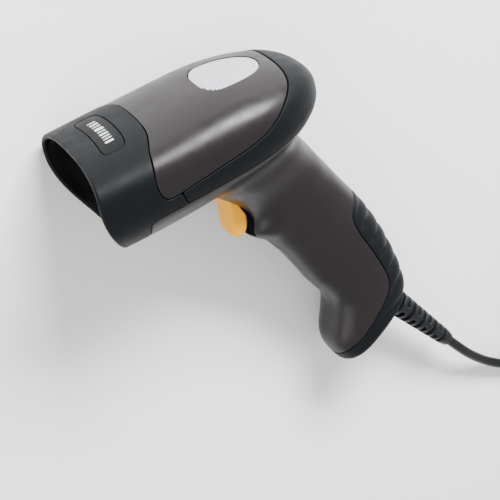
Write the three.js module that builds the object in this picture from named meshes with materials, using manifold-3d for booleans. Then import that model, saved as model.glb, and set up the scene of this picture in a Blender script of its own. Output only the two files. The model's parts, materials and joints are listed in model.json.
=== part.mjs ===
// Handheld barcode scanner, pistol form, laid on its right side on a counter with its cable coiled beside it.
// Design frame, millimetres: nose towards -X, tail towards +X, top of the head +Z, the user's left -Y.
// The finished design is then turned onto its side: the left cheek faces up and the lowest points touch Z = 0.
import * as THREE from "three";
import { mergeVertices } from "three/addons/utils/BufferGeometryUtils.js";
import Module from "manifold-3d";

const wasm = await Module();
wasm.setup();

// ---- driving dimensions ----
const WALL = 2.4;              // moulded shell thickness
const GAP = 0.36;              // width of the line between neighbouring shells
const ROUND = 2.5;             // roundness of the head, tail and grip sections
const TAIL_START = -7;         // where the tail starts to round off
const TAIL_END = 43;           // rearmost point of the head
const GRIP_START = [12, -25];  // x, z where the grip axis leaves the head
const GRIP_LEAN = THREE.MathUtils.degToRad(16.5);
const TUNNEL_END = -41.4;      // rear end of the nose tunnel
const TRIGGER_WIDTH = 15.6;
const PIVOT = [-8, -21.6];     // x, z of the trigger's pin
const PIN_RADIUS = 1.5;
const RUNNING_GAP = 0.3;
const CORD = 4.8;              // cable diameter
const BOOT_BASE = [56, -122.5];
const BOOT_LEAN = THREE.MathUtils.degToRad(33.5); // from straight down, towards the back of the grip
const BOOT_LENGTH = 53;
const BOOT_RADII = [6.6, 3.4];
const COIL_CENTRE = [-158, 100]; // on the counter
const COIL_MEAN = 28.8;        // radius to the middle of the coil's turns
const COIL_HALF = 7.4;         // half the coil's bundle, across
const COIL_BASE = 1.3;         // the tie under the bundle lifts it off the counter
const COIL_TOP = 15.9;
const TIE_ANGLE = THREE.MathUtils.degToRad(300);
const PLUG_TIP = -5;           // y of the USB shell's open end
const PLUG_X = -182;
const PLUG_HEIGHT = 4.4;       // axis of the USB plug above the counter

// ---- smooth curves through a few points ----
function curve(points) {
  const n = points.length;
  const step = points.slice(1).map((p, i) => p[0] - points[i][0]);
  const slope = points.slice(1).map((p, i) => (p[1] - points[i][1]) / step[i]);
  const m = points.map((p, i) => {
    if (i === 0) return slope[0];
    if (i === n - 1) return slope[n - 2];
    return (slope[i - 1] * step[i] + slope[i] * step[i - 1]) / (step[i - 1] + step[i]);
  });
  return (value) => {
    const v = Math.min(Math.max(value, points[0][0]), points[n - 1][0]);
    let i = 0;
    while (i < n - 2 && v > points[i + 1][0]) i += 1;
    const t = (v - points[i][0]) / step[i];
    const [a, b] = [points[i][1], points[i + 1][1]];
    return (2 * t ** 3 - 3 * t ** 2 + 1) * a + (t ** 3 - 2 * t ** 2 + t) * step[i] * m[i]
      + (-2 * t ** 3 + 3 * t ** 2) * b + (t ** 3 - t ** 2) * step[i] * m[i + 1];
  };
}

const headTop = curve([[-74, 12.5], [-34, 16], [-6, 18.5], [20, 19], [47, 21.5]]);
const headBottom = curve([[-74, -33], [-40, -30.5], [-12, -26.5], [20, -20], [47, -13.5]]);
const headWidth = curve([[-74, 34], [-44, 35], [47, 33]]);
const rimX = curve([[-38, -54.5], [-22, -65], [-6, -69.5], [8, -68.5], [20, -65]]);
const gripFront = curve([[-14, -34], [0, -27], [10, -22], [20, -20.5], [27, -24], [36, -19], [44, -16.5],
  [70, -12.5], [89, -10.5], [96, -14.5], [104, -20], [124, -19.5]]);
const gripBack = curve([[-14, 15], [10, 20], [36, 25], [54, 28.5], [80, 29.5], [100, 27], [114, 22.5], [124, 18]]);
const gripWidth = curve([[-14, 27], [0, 22.5], [12, 18], [26, 16], [45, 15], [72, 15], [92, 16], [124, 16.5]]);

// side-view lines (x, z) where one moulding meets the next
const NOSE_SEAM = [[-36, 20], [-37, 15.5], [-42, 11], [-44.5, 3], [-44, -4.5], [-41, -8], [-35.5, -7.5]];
const COVER_SEAM = [[-35.5, -7.5], [-20, -4.5], [4, 0.5], [20, 9], [26.5, 14], [28, 22]];
const BAND_LOW = [[-33.5, -14], [0, -11], [28, -7], [50, -3.5]];
const NOSE_LOW = [[-50.5, -17.5], [-47, -15.5], [-33.5, -14]];
const PAD_SEAM = [[60, -56], [50, -60], [44, -67], [45, -76], [50, -90], [54, -105], [51, -114], [38, -127.5],
  [26, -137], [18, -146]];
const BUTT_FRONT = [25, -146.5];  // the butt is a flat cut through this point
const BUTT_SLOPE = 0.65;
const BUTT_CUT = [-40, 90].map((x) => [x, BUTT_FRONT[1] + BUTT_SLOPE * (x - BUTT_FRONT[0])]);

// ---- solids ----
function solidFrom(positions, triangles) {
  const mesh = new wasm.Mesh({
    numProp: 3,
    vertProperties: new Float32Array(positions),
    triVerts: new Uint32Array(triangles),
  });
  return new wasm.Manifold(mesh);
}

function solid(geometry) {
  const bare = geometry.clone();
  for (const name of Object.keys(bare.attributes)) if (name !== "position") bare.deleteAttribute(name);
  const merged = mergeVertices(bare, 1e-4);
  return solidFrom(merged.attributes.position.array, merged.index.array);
}

function geometryOf(body) {
  const mesh = body.getMesh();
  const geometry = new THREE.BufferGeometry();
  const xyz = new Float32Array(mesh.numVert * 3);
  for (let i = 0; i < mesh.numVert; i += 1) {
    for (let k = 0; k < 3; k += 1) xyz[i * 3 + k] = mesh.vertProperties[i * mesh.numProp + k];
  }
  geometry.setAttribute("position", new THREE.BufferAttribute(xyz, 3));
  geometry.setIndex(Array.from(mesh.triVerts));
  return geometry;
}

// a closed body through rings of points, each ring counter-clockwise seen from the far end
function loft(rings) {
  const m = rings[0].length;
  const positions = rings.flat(2);
  const triangles = [];
  for (let i = 0; i < rings.length - 1; i += 1) {
    for (let j = 0; j < m; j += 1) {
      const a = i * m + j;
      const b = i * m + ((j + 1) % m);
      triangles.push(a, b, b + m, a, b + m, a + m);
    }
  }
  for (const [ring, flip] of [[0, true], [rings.length - 1, false]]) {
    const centre = positions.length / 3;
    for (let k = 0; k < 3; k += 1) positions.push(rings[ring].reduce((sum, p) => sum + p[k], 0) / m);
    for (let j = 0; j < m; j += 1) {
      const a = ring * m + j;
      const b = ring * m + ((j + 1) % m);
      triangles.push(...(flip ? [centre, b, a] : [centre, a, b]));
    }
  }
  return solidFrom(positions, triangles);
}

const power = (value, exponent) => Math.sign(value) * Math.abs(value) ** exponent;

function headSection(x, inset, count) {
  const k = Math.max(0, (x - TAIL_START) / (TAIL_END - inset - TAIL_START));
  const cap = Math.sqrt(Math.max(0.0004, 1 - k ** ROUND));
  return Array.from({ length: count }, (_, j) => {
    const angle = (j / count) * 2 * Math.PI;
    const [c, s] = [Math.cos(angle), Math.sin(angle)];
    const round = s > 0 ? ROUND : ROUND;
    const half = (headWidth(x) - inset) * cap;
    const rise = (s > 0 ? headTop(x) - inset : -headBottom(x) - inset) * cap;
    return [x, half * power(c, 2 / round), rise * power(s, 2 / round)];
  });
}

function headBody(inset, stations, count, start = -76) {
  const end = TAIL_END - inset;
  return loft(Array.from({ length: stations }, (_, i) => {
    const u = i / (stations - 1);
    const x = start + (end - start) * Math.sin((u * Math.PI) / 2) ** 0.92;
    return headSection(Math.min(x, end), inset, count);
  }));
}

const gripAxis = [Math.sin(GRIP_LEAN), -Math.cos(GRIP_LEAN)];
const gripAcross = [Math.cos(GRIP_LEAN), Math.sin(GRIP_LEAN)];

function gripSection(t, inset, count) {
  const [front, back] = [gripFront(t) + inset, gripBack(t) - inset];
  const [middle, reach] = [(front + back) / 2, (back - front) / 2];
  return Array.from({ length: count }, (_, j) => {
    const angle = (j / count) * 2 * Math.PI;
    const s = middle + reach * power(Math.cos(angle), 2 / ROUND);
    const y = (gripWidth(t) - inset) * power(Math.sin(angle), 2 / ROUND);
    return [
      GRIP_START[0] + gripAxis[0] * t + gripAcross[0] * s,
      -y,
      GRIP_START[1] + gripAxis[1] * t + gripAcross[1] * s,
    ];
  });
}

function gripBody(inset, from, to, stations, count) {
  return loft(Array.from({ length: stations }, (_, i) => {
    return gripSection(from + ((to - from) * i) / (stations - 1), inset, count);
  }));
}

// a slab with a side-view outline, running from y0 to y1
function slab(outline, y0, y1) {
  const shape = new THREE.Shape(outline.map(([x, z]) => new THREE.Vector2(x, z)));
  const geometry = new THREE.ExtrudeGeometry(shape, { depth: y1 - y0, bevelEnabled: false });
  return solid(geometry.rotateX(Math.PI / 2).translate(0, y1, 0));
}

// a column with a plan outline (x, y), running from z0 to z1
function column(outline, z0, z1) {
  const shape = new THREE.Shape(outline.map(([x, y]) => new THREE.Vector2(x, y)));
  return solid(new THREE.ExtrudeGeometry(shape, { depth: z1 - z0, bevelEnabled: false }).translate(0, 0, z0));
}

function smooth(points, steps) {
  const spline = new THREE.SplineCurve(points.map(([x, y]) => new THREE.Vector2(x, y)));
  return spline.getPoints(steps).map((p) => [p.x, p.y]);
}

// the thin curtain that parts two shells along a side-view line
function curtain(line, width = GAP) {
  const offset = (side) => line.map((p, i) => {
    const [a, b] = [line[Math.max(0, i - 1)], line[Math.min(line.length - 1, i + 1)]];
    const [dx, dz] = [b[0] - a[0], b[1] - a[1]];
    const size = Math.hypot(dx, dz);
    return [p[0] - (side * width * dz) / (2 * size), p[1] + (side * width * dx) / (2 * size)];
  });
  return slab([...offset(1), ...offset(-1).reverse()], -60, 60);
}

const box = (x0, x1, y0, y1, z0, z1) => solid(new THREE.BoxGeometry(x1 - x0, y1 - y0, z1 - z0)
  .translate((x0 + x1) / 2, (y0 + y1) / 2, (z0 + z1) / 2));

// a round bar from point a to point b, with its own radius at each end
function bar(a, b, radiusA, radiusB = radiusA, sides = 20) {
  const from = new THREE.Vector3(...a);
  const to = new THREE.Vector3(...b);
  const geometry = new THREE.CylinderGeometry(radiusB, radiusA, from.distanceTo(to), sides);
  const turn = new THREE.Quaternion().setFromUnitVectors(new THREE.Vector3(0, 1, 0), to.clone().sub(from).normalize());
  return solid(geometry.applyQuaternion(turn).translate(...from.add(to).multiplyScalar(0.5).toArray()));
}

// ---- shells ----
const noseSeam = smooth(NOSE_SEAM, 26);
const coverSeam = smooth(COVER_SEAM, 26);
const bandLow = smooth(BAND_LOW, 12);
const noseLow = smooth(NOSE_LOW, 8);
const padSeam = smooth(PAD_SEAM, 34);
const STEP_LINE = [[-50.5, -45], [-50.5, -17.5]];

const rimLine = Array.from({ length: 15 }, (_, i) => {
  const z = -38 + (58 * i) / 14;
  return [rimX(z), z];
});
const behindRim = slab([...rimLine, [-40, 40], [80, 40], [80, -170], [-40, -170], [-54, -44]], -60, 60);
const outerHead = headBody(0, 24, 44).intersect(behindRim);
const outerGrip = gripBody(0, -14, 124, 34, 28);
const aboveButt = slab([...BUTT_CUT, [90, 60], [-40, 60]], -60, 60);
const outer = outerHead.add(outerGrip.intersect(aboveButt));
const insideButt = slab([...BUTT_CUT.map(([x, z]) => [x, z + WALL + 0.3]), [90, 60], [-40, 60]], -60, 60);
const inner = headBody(WALL, 15, 28).add(gripBody(WALL, -10, 122, 18, 18).intersect(insideButt));
const shell = outer.subtract(inner);

const noseZone = slab([[-95, 40], [-36, 40], ...noseSeam, ...noseLow.slice().reverse(), [-50.5, -60], [-95, -60]],
  -60, 60);
const coverZone = slab([[-36, 40], ...noseSeam, ...coverSeam.slice(1), [28, 40]], -60, 60);
const bandZone = slab([...coverSeam, [28, 40], [80, 40], [80, -3.5], ...bandLow.slice().reverse()], -60, 60);
const padZone = slab([...padSeam, [18, -170], [120, -170], [120, -56]], -60, 60);
const lowZone = slab([[-50.5, -60], ...noseLow, ...bandLow.slice(1), [80, -3.5], [120, -56], [120, -170], [0, -170],
  [-50.5, -170]], -60, 60);

const lines = [curtain(noseSeam), curtain(coverSeam), curtain([[-35.5, -7.5], [-33.5, -14]]), curtain(bandLow),
  curtain(noseLow), curtain(STEP_LINE), curtain(padSeam)];
const cutLines = (body) => lines.reduce((rest, line) => rest.subtract(line), body);
// a flat land under the head, where a stand's cup takes the weight
const LAND_MIDDLE = -35;
const LAND_REACH = 15;          // the plane runs this far to each side, and leaves the skin before that
const LAND_DEPTH = 0.2;
const LAND_SLOPE = (headBottom(LAND_MIDDLE + 13) - headBottom(LAND_MIDDLE - 13)) / 26;
const LAND = [-LAND_REACH, LAND_REACH].map((dx) => [LAND_MIDDLE + dx,
  headBottom(LAND_MIDDLE) + LAND_DEPTH + LAND_SLOPE * dx]);
const cradleCut = slab([...LAND, [LAND_MIDDLE + LAND_REACH, -50], [LAND_MIDDLE - LAND_REACH, -50]], -60, 60);
const largest = (body) => body.decompose().sort((a, b) => b.volume() - a.volume())[0];

// plan outlines of the light window, an egg, and of the name badge, a bowed oblong
const LIGHT = { rear: 21.5, front: 8, half: 13.5, roundness: 2.2 };
const BADGE = { middle: -51, reach: 5.5, half: 18, roundness: 6, bow: 1.5 };
const OUTLINE_STEPS = 48;
const lobed = ({ roundness }, place) => Array.from({ length: OUTLINE_STEPS }, (_, i) => {
  const angle = (i / OUTLINE_STEPS) * 2 * Math.PI;
  return place(power(Math.cos(angle), 2 / roundness), power(Math.sin(angle), 2 / roundness));
});
const grown = (outline, by) => {
  const middle = outline.reduce((sum, p) => [sum[0] + p[0] / outline.length, sum[1] + p[1] / outline.length], [0, 0]);
  return outline.map(([x, y]) => {
    const [dx, dy] = [x - middle[0], y - middle[1]];
    const size = Math.hypot(dx, dy);
    return [x + (dx / size) * by, y + (dy / size) * by];
  });
};
const lightOutline = lobed(LIGHT, (u, v) => [u * (u > 0 ? LIGHT.rear : LIGHT.front), v * LIGHT.half]);
const badgeOutline = lobed(BADGE, (u, v) => [BADGE.middle + u * BADGE.reach - BADGE.bow * v * v, v * BADGE.half]);

const BADGE_DEPTH = 1;
const skinUnderBadge = headBody(BADGE_DEPTH, 15, 36);
const badgeRecess = column(grown(badgeOutline, 0.35), 0, 40).subtract(headBody(BADGE_DEPTH + 0.3, 15, 36));
const noseBumper = largest(cutLines(shell.intersect(noseZone).subtract(badgeRecess)));
const badge = column(badgeOutline, 0, 40).intersect(outerHead).subtract(skinUnderBadge);
const topCover = largest(cutLines(shell.intersect(coverZone)).subtract(column(grown(lightOutline, 0.35), 0, 40)));
const lightWindow = column(lightOutline, 6, 40).intersect(outerHead).subtract(headBody(WALL, 15, 28));
const rearBand = largest(cutLines(shell.intersect(bandZone)));
const gripPad = largest(cutLines(shell.intersect(padZone)));

// the pocket that the trigger swings into, and the two ears that hold its pin
const POCKET = [[-14, -16], [-14, -58], [0.5, -58], [2.5, -48], [0.5, -36], [-2, -24], [-2, -16]];
const pocketHalf = TRIGGER_WIDTH / 2 + 0.5;
const pinAt = (y) => [PIVOT[0], y, PIVOT[1]];
const ears = [-1, 1].map((side) => {
  const [a, b] = [side * (pocketHalf + 0.1), side * (pocketHalf + 2.6)].sort((p, q) => p - q);
  return slab([[-12.4, -26], [-3.4, -25], [-4.6, -19], [-6.4, -17.6], [-9.6, -17.6], [-11.4, -19]], a, b);
});
const pinBore = bar(pinAt(-14), pinAt(14), PIN_RADIUS + RUNNING_GAP);
const bootDirection = new THREE.Vector2(Math.sin(BOOT_LEAN), -Math.cos(BOOT_LEAN));
const along = (distance, y = 0) => [BOOT_BASE[0] + bootDirection.x * distance, y,
  BOOT_BASE[1] + bootDirection.y * distance];
const cableHole = bar(along(-8), along(14), BOOT_RADII[0] + 0.35, BOOT_RADII[0] + 0.35, 24);
const lowHousing = largest(cutLines(shell.intersect(lowZone)).subtract(slab(POCKET, -pocketHalf, pocketHalf))
  .add(ears[0]).add(ears[1]).subtract(pinBore).subtract(cableHole));

// ---- nose tunnel and window ----
function tunnelRing(x, width, top, bottom, count) {
  return Array.from({ length: count }, (_, j) => {
    const angle = (j / count) * 2 * Math.PI;
    const [c, s] = [Math.cos(angle), Math.sin(angle)];
    return [x, width * power(c, 2 / 3), (top + bottom) / 2 + ((top - bottom) / 2) * power(s, 2 / 3)];
  });
}
const tunnelHollow = loft([tunnelRing(-80, 32, 11.4, -31, 32), tunnelRing(-66, 30.4, 10.4, -29, 32),
  tunnelRing(TUNNEL_END - 1, 24, 7.5, -17, 32), tunnelRing(TUNNEL_END + 3, 24, 7.5, -17, 32)]);
const tunnelSkin = headBody(WALL + RUNNING_GAP, 15, 36).intersect(
  loft([tunnelRing(-80, 34.5, 14, -34, 32), tunnelRing(-66, 32.6, 12.6, -31.6, 32),
    tunnelRing(TUNNEL_END - 1, 26.4, 9.8, -19.4, 32), tunnelRing(TUNNEL_END, 26.4, 9.8, -19.4, 32)]));
const setBack = slab([...rimLine.map(([x, z]) => [x + 1.2, z]), [-30, 40], [-30, -60], [-52, -60]], -60, 60);
const noseTunnel = largest(tunnelSkin.subtract(tunnelHollow).intersect(setBack));

// ---- screws and the bosses that take them ----
const COVER_SCREWS = [[-27, -20], [-27, 20]];   // x, y, driven up through the underside of the head
const BOARD_SCREWS = [[-9, -15.5], [-9, 15.5]];
const roof = (x, y) => headTop(x) * (1 - Math.abs(y / headWidth(x)) ** ROUND) ** (1 / ROUND);
const underside = (x, y) => headBottom(x) * (1 - Math.abs(y / headWidth(x)) ** ROUND) ** (1 / ROUND);
const SCREW_HEAD_RADIUS = 2.9;
const SCREW_SINK = 0.5;         // how deep a cover screw's head sits at its shallow edge
const coverScrewHead = underside(COVER_SCREWS[1][0], COVER_SCREWS[1][1] + SCREW_HEAD_RADIUS) + SCREW_SINK;
const tube = (x, y, z0, z1, outerRadius, innerRadius) => bar([x, y, z0], [x, y, z1], outerRadius)
  .subtract(bar([x, y, z0 - 1], [x, y, z1 - 3.4], innerRadius));
function panScrew(x, y, z, shank, headRadius, shankRadius) {
  const head = bar([x, y, z], [x, y, z + 1.5], headRadius * 0.8, headRadius, 20);
  const cross = box(x - 1.2, x + 1.2, y - 0.3, y + 0.3, z - 0.1, z + 0.8)
    .add(box(x - 0.3, x + 0.3, y - 1.2, y + 1.2, z - 0.1, z + 0.8));
  return head.add(bar([x, y, z + 1.4], [x, y, z + shank], shankRadius, shankRadius, 16)).subtract(cross);
}

// ---- trigger and its switch ----
const TRIGGER_SIDE = smooth([[-11, -22.5], [-10, -36], [-10.5, -49], [-10.5, -55], [-7, -57], [-3, -54], [-1, -46],
  [-2.5, -34], [-4.5, -22], [-7, -18], [-10, -18.5], [-11, -22.5]], 44).slice(0, -1);
function roundedSlab(outline, y0, y1, edge) {
  const shape = new THREE.Shape(outline.map(([x, z]) => new THREE.Vector2(x, z)));
  const geometry = new THREE.ExtrudeGeometry(shape, {
    depth: y1 - y0 - 2 * edge, bevelThickness: edge, bevelSize: edge, bevelOffset: -edge, bevelSegments: 2,
  });
  return solid(geometry.rotateX(Math.PI / 2).translate(0, y1 - edge, 0));
}
const trigger = roundedSlab(TRIGGER_SIDE, -TRIGGER_WIDTH / 2, TRIGGER_WIDTH / 2, 1.2).subtract(pinBore);
const PLUNGER_Z = -45;
const SWITCH_FRONT = 6;
const switchBody = box(SWITCH_FRONT, 13, -4, 4, PLUNGER_Z - 4, PLUNGER_Z + 4)
  .subtract(bar([0, 0, PLUNGER_Z], [12, 0, PLUNGER_Z], 2.1));
const plunger = bar([-0.5, 0, PLUNGER_Z], [9.3, 0, PLUNGER_Z], 1.75);

// ---- plain internal pieces ----
const TO_BOARD = 4;             // underside of the main board
const board = box(-12, 30, -19, 19, TO_BOARD, TO_BOARD + 1.6);
const onBoard = TO_BOARD + 1.6 + RUNNING_GAP;
const underBoard = TO_BOARD - RUNNING_GAP;
const engine = box(-34.5, -16, -15, 15, -16, -1).subtract(bar([-40, 0, -8.5], [-20, 0, -8.5], 5.3));
const lensBarrel = bar([-37.4, 0, -8.5], [-26, 0, -8.5], 5).subtract(bar([-40, 0, -8.5], [-34, 0, -8.5], 3.2));
const sensorBoard = box(-15.7, -14.3, -14, 14, -15.6, -1.4);
const LED_BOARD_FRONT = -36.2;
const ledBoard = box(LED_BOARD_FRONT, -34.8, -22.5, 22.5, -16, -1).subtract(bar([-40, 0, -8.5], [-30, 0, -8.5], 5.6));
const exitWindow = slab([[-39.4, -17.6], [-38.2, -17.6], [-38.2, 8], [-39.4, 8]], -24.6, 24.6);
const gasket = slab([[-39.7, -18.6], [-39.7, 9], [-41.1, 9], [-41.1, -18.6]].reverse(), -25.6, 25.6);

// the cable socket and the plug that the boot is moulded to, both on the cable's own line
const across = new THREE.Vector2(-bootDirection.y, bootDirection.x);
function squareBar(from, to, half, depth) {
  const corner = (distance, side) => [BOOT_BASE[0] + bootDirection.x * distance + across.x * side,
    BOOT_BASE[1] + bootDirection.y * distance + across.y * side];
  return slab([corner(from, -half), corner(to, -half), corner(to, half), corner(from, half)], -depth, depth);
}

// ---- cable ----
const bootProfile = [[-5, 5.6], [-2.6, 5.6], [-2.6, BOOT_RADII[0] - 0.2], [3, BOOT_RADII[0] - 0.2],
  [BOOT_LENGTH - 4, BOOT_RADII[1] + 0.3], [BOOT_LENGTH, BOOT_RADII[1]]];
const boot = solid(new THREE.LatheGeometry([new THREE.Vector2(0, bootProfile[0][0]),
  ...bootProfile.map(([y, r]) => new THREE.Vector2(r, y)), new THREE.Vector2(0, BOOT_LENGTH)], 24)
  .applyQuaternion(new THREE.Quaternion().setFromUnitVectors(new THREE.Vector3(0, 1, 0),
    new THREE.Vector3(bootDirection.x, 0, bootDirection.y)))
  .translate(...along(0)));

// ---- finishes ----
const finish = (color, roughness, metalness = 0) => new THREE.MeshStandardMaterial({ color, roughness, metalness });
const rubber = finish(0x2c3135, 0.62);
const housing = finish(0x454345, 0.42);
const blackPlastic = finish(0x101113, 0.55);
const amber = finish(0xf3b33c, 0.38);
const lensWhite = finish(0xdfe3e6, 0.3);
const clearGlass = finish(0x5b2a2a, 0.08);
const boardGreen = finish(0x1f5b3a, 0.5);
const chipBlack = finish(0x1a1a1c, 0.5);
const steel = finish(0xb9bcc0, 0.3, 1);
const ivory = finish(0xd9d4c4, 0.5);
const ledClear = finish(0xf4f0dc, 0.2);

// ---- assembly in the design frame ----
const scanner = new THREE.Group();
function place(parent, name, body, material) {
  const mesh = new THREE.Mesh(body.isBufferGeometry ? body : geometryOf(body), material);
  mesh.name = name;
  parent.add(mesh);
  return mesh;
}

place(scanner, "nose_bumper", noseBumper, rubber);
place(scanner, "name_badge", badge, chipBlack);
const coverBosses = COVER_SCREWS.map(([x, y]) => tube(x, y, -19, roof(x, y) - 1, 3, 1.3));
const boardBosses = BOARD_SCREWS.map(([x, y]) => tube(x, y, TO_BOARD + 1.6 + RUNNING_GAP, roof(x, y) - 1, 2.5, 1.1));
const ribbonPath = [[-13.9, -9], [-13.2, -9], [-12.7, -6], [-12.6, 1.4], [-11.4, 2.3]];
const leadPath = new THREE.CatmullRomCurve3([[42.4, 0, -101.6], [38, 0, -94], [30, 0, -76], [23, 0, -54],
  [18.5, 3, -34], [16, 7, -19], [19, 10, -8], [22.5, 11, -2.2]].map((p) => new THREE.Vector3(...p)));
const ring = (radius, sides) => new THREE.Shape(Array.from({ length: sides }, (_, i) => new THREE.Vector2(
  radius * Math.cos((2 * Math.PI * i) / sides), radius * Math.sin((2 * Math.PI * i) / sides))));
const tubeAlong = (path, radius, sides, steps) => solid(new THREE.ExtrudeGeometry(ring(radius, sides), {
  extrudePath: path, steps, bevelEnabled: false,
}));
place(scanner, "top_cover", [...coverBosses, ...boardBosses].reduce((body, boss) => body.add(boss), topCover),
  housing);
place(scanner, "light_window", lightWindow, lensWhite);
place(scanner, "rear_band", rearBand, rubber);
const screwPockets = COVER_SCREWS.map(([x, y]) => bar([x, y, -40], [x, y, coverScrewHead + 1.7], 3.4)
  .add(bar([x, y, -30], [x, y, -15], 1.7)));
const screwSeats = COVER_SCREWS.map(([x, y]) => bar([x, y, -27.5], [x, y, -19.4], 4.9)
  .intersect(headBody(0.3, 24, 44)));
place(scanner, "lower_housing", screwPockets.reduce((body, pocket) => body.subtract(pocket),
  screwSeats.reduce((body, seat) => body.add(seat), lowHousing)).subtract(cradleCut), housing);
COVER_SCREWS.forEach(([x, y], i) => {
  place(scanner, `cover_screw_${i + 1}`, panScrew(x, y, coverScrewHead - 0.1, 16, SCREW_HEAD_RADIUS, 1), steel);
});
BOARD_SCREWS.forEach(([x, y], i) => {
  place(scanner, `board_screw_${i + 1}`, panScrew(x, y, TO_BOARD - 1.8, 7.4, 2, 0.8), steel);
});
place(scanner, "ribbon_cable", curtain(ribbonPath, 0.5).intersect(box(-20, 0, -6, 6, -12, 6)), ivory);
place(scanner, "internal_lead", tubeAlong(leadPath, 1.8, 8, 24), rubber);
place(scanner, "grip_pad", gripPad.subtract(cableHole), rubber);
place(scanner, "nose_tunnel", noseTunnel, blackPlastic);
place(scanner, "exit_window", exitWindow, clearGlass);
place(scanner, "window_gasket", gasket.subtract(slab([[-45, -16.4], [-30, -16.4], [-30, 6.8], [-45, 6.8]],
  -23.4, 23.4)), blackPlastic);
place(scanner, "engine_chassis", engine, blackPlastic);
place(scanner, "lens_barrel", lensBarrel, blackPlastic);
place(scanner, "sensor_board", sensorBoard, boardGreen);
place(scanner, "led_board", ledBoard, boardGreen);
[[-18.5, -12.6], [18.5, -12.6], [-18.5, -4.4], [18.5, -4.4]].forEach(([y, z], i) => {
  // between their board and the exit window
  place(scanner, `scan_lamp_${i + 1}`, box(LED_BOARD_FRONT - 1.7, LED_BOARD_FRONT - 0.3, y - 1.6, y + 1.6, z - 1.6,
    z + 1.6), ledClear);
});
place(scanner, "main_board", BOARD_SCREWS.reduce((body, [x, y]) => body.subtract(
  bar([x, y, 0], [x, y, 10], 1.2, 1.2, 16)), board), boardGreen);
place(scanner, "decoder_chip", box(2, 14, -6, 6, underBoard - 1.4, underBoard), chipBlack);
place(scanner, "memory_chip", box(17, 25, -14, -6, underBoard - 1.2, underBoard), chipBlack);
place(scanner, "ribbon_connector", box(-11, -7.6, -8, 8, underBoard - 2, underBoard), ivory);
place(scanner, "cable_header", box(20, 26, 6, 16, underBoard - 5, underBoard), ivory);
place(scanner, "beeper", bar([-2, 12.5, underBoard], [-2, 12.5, underBoard - 5.5], 5.4, 5.4, 24), chipBlack);
[-4, 4].forEach((y, i) => {
  place(scanner, `status_lamp_${i + 1}`, box(5, 8.2, y - 1.4, y + 1.4, onBoard, onBoard + 1.8), ledClear);
});
place(scanner, "trigger", trigger, amber);
place(scanner, "trigger_pin", bar(pinAt(-pocketHalf - 2.4), pinAt(pocketHalf + 2.4), PIN_RADIUS), steel);
place(scanner, "switch_board", box(13.3, 14.9, -7, 7, PLUNGER_Z - 11, PLUNGER_Z + 7), boardGreen);
place(scanner, "switch_body", switchBody, chipBlack);
place(scanner, "switch_plunger", plunger, ivory);
place(scanner, "cable_socket", squareBar(-24, -11, 6.6, 7).subtract(squareBar(-21, -5, 4.9, 5.3)), ivory);
place(scanner, "cable_plug", squareBar(-20, -5.3, 4.5, 4.9), lensWhite);
place(scanner, "cable_boot", boot, rubber);

// ---- rest pose: laid on the right cheek and the right edge of the butt ----
const corners = (body) => Array.from(geometryOf(body).attributes.position.array)
  .reduce((list, value, i, all) => (i % 3 === 0 ? [...list, [value, all[i + 1], all[i + 2]]] : list), []);
const cheek = [...corners(noseBumper), ...corners(rearBand)];
const butt = corners(gripPad);
const height = ([, y, z], tilt) => z * Math.sin(tilt) - y * Math.cos(tilt);
const lowest = (points, tilt) => points.reduce((least, p) => Math.min(least, height(p, tilt)), Infinity);
let restTilt = 0;
for (let step = THREE.MathUtils.degToRad(8); step > 1e-7; step /= 2) {
  restTilt += lowest(butt, restTilt) > lowest(cheek, restTilt) ? step : -step;
}
const laid = new THREE.Group().add(scanner);
scanner.rotation.x = restTilt - Math.PI / 2;
laid.rotation.z = Math.PI;
const object = new THREE.Group().add(laid);
object.updateMatrixWorld(true);
const extent = new THREE.Box3().setFromObject(laid, true);
laid.position.set(-(extent.min.x + extent.max.x) / 2, -(extent.min.y + extent.max.y) / 2, -extent.min.z);

// ---- free cable on the counter: x, y, z as it lies ----
const RUN = [[-76.2, 91.4, 11.9], [-80.6, 98, 11.1], [-85.2, 104.6, 9.5], [-90.5, 111.2, 7.3], [-96.8, 117.8, 5.1],
  [-104.4, 124, 3.9], [-113, 128.8, 3.7], [-123, 132, 3.7], [-134, 133.5, 3.7], [-146, 133.7, 3.7],
  [-158, 133.6, 3.7]];
const TAIL = [[-182, 84, 18.7], [-182, 78, 18.8], [-182, 72, 18.2], [-182, 66, 15.8], [-182, 60, 12],
  [-182, 54, 8.2], [-182, 48, 5.6], [-182, 42.6, 4.5], [-182, 39.8, PLUG_HEIGHT]];
const pathOf = (points) => new THREE.CatmullRomCurve3(points.map((p) => new THREE.Vector3(...p)), false, "centripetal");
const bundle = (grow) => solid(new THREE.LatheGeometry([
  [COIL_MEAN - COIL_HALF - grow, COIL_BASE + 1.6], [COIL_MEAN - COIL_HALF + 1.6, COIL_BASE - grow],
  [COIL_MEAN + COIL_HALF - 1.6, COIL_BASE - grow], [COIL_MEAN + COIL_HALF + grow, COIL_BASE + 1.6],
  [COIL_MEAN + COIL_HALF + grow, COIL_TOP - 1.6], [COIL_MEAN + COIL_HALF - 1.6, COIL_TOP + grow],
  [COIL_MEAN - COIL_HALF + 1.6, COIL_TOP + grow], [COIL_MEAN - COIL_HALF - grow, COIL_TOP - 1.6],
  [COIL_MEAN - COIL_HALF - grow, COIL_BASE + 1.6],
].map(([r, y]) => new THREE.Vector2(r, y)), 36).rotateX(Math.PI / 2)
  .translate(COIL_CENTRE[0], COIL_CENTRE[1], 0));
const [startX, startY, startZ] = RUN[0];
const startGap = bar(RUN[0], [startX + 0.16, startY - 0.24, startZ + 0.03], 6);
place(object, "cable_run", largest(tubeAlong(pathOf(RUN), CORD / 2, 12, 18).subtract(bundle(0.3))
  .subtract(startGap)), rubber);
place(object, "cable_coil", bundle(0), rubber);
place(object, "cable_tail", tubeAlong(pathOf(TAIL), CORD / 2, 12, 12), rubber);

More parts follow.
